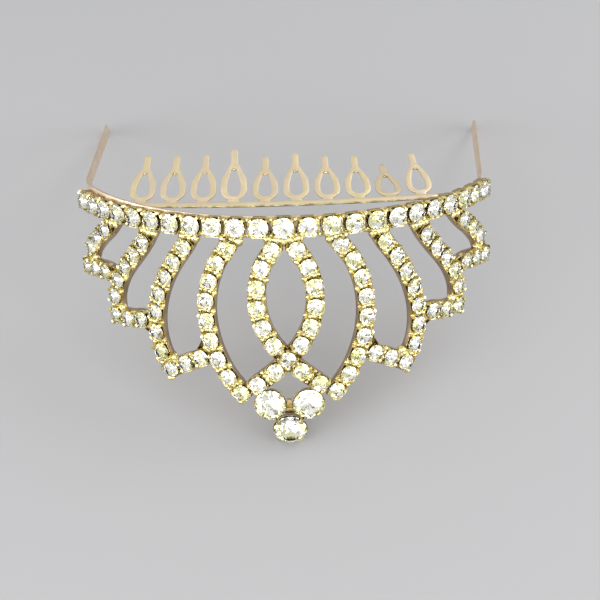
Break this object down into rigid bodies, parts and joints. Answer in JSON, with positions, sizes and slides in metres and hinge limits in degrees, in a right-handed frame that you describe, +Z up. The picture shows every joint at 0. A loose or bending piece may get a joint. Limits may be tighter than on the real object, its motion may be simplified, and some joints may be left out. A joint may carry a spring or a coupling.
{
  "type": "tiara hair clip",
  "caption": "Small curved tiara of claw-set clear stones on a bent gold head strip with two arms and a stamped hair comb, lying on its front.",
  "frame": {"origin": "middle of the bounding box at the level the part lies on: the peak cup and both arm tips touch Z = 0", "axes": "+X to the right across the head strip, +Y from the decorated front towards the arm tips, +Z up from the table; the peak points down towards -Y"},
  "size_m": [0.0898, 0.0962, 0.0414],
  "materials": {
    "gold": "bright gold plate on soldered claw cups, bars and head strip",
    "pale_gold": "pale matte champagne plate on a stamped sheet comb",
    "crystal": "clear polished cut glass"
  },
  "bodies": {
    "root": {"frame": "gold", "comb": "pale_gold", "band_stone_01": "crystal", "band_stone_02": "crystal", "band_stone_03": "crystal", "band_stone_04": "crystal", "band_stone_05": "crystal", "band_stone_06": "crystal", "band_stone_07": "crystal", "band_stone_08": "crystal", "band_stone_09": "crystal", "band_stone_10": "crystal", "band_stone_11": "crystal", "band_stone_12": "crystal", "band_stone_13": "crystal", "band_stone_14": "crystal", "band_stone_15": "crystal", "band_stone_16": "crystal", "band_stone_17": "crystal", "band_stone_18": "crystal", "band_stone_19": "crystal", "band_stone_20": "crystal", "band_stone_21": "crystal", "band_stone_22": "crystal", "band_stone_23": "crystal", "large_stone_left": "crystal", "large_stone_right": "crystal", "peak_stone": "crystal", "crossing_stones": "crystal", "almond_stones_left": "crystal", "almond_stones_right": "crystal", "inner_stones_left": "crystal", "inner_stones_right": "crystal", "middle_stones_left": "crystal", "middle_stones_right": "crystal", "outer_stones_left": "crystal", "outer_stones_right": "crystal", "end_stones_left": "crystal", "end_stones_right": "crystal"}
  },
  "joints": []
}
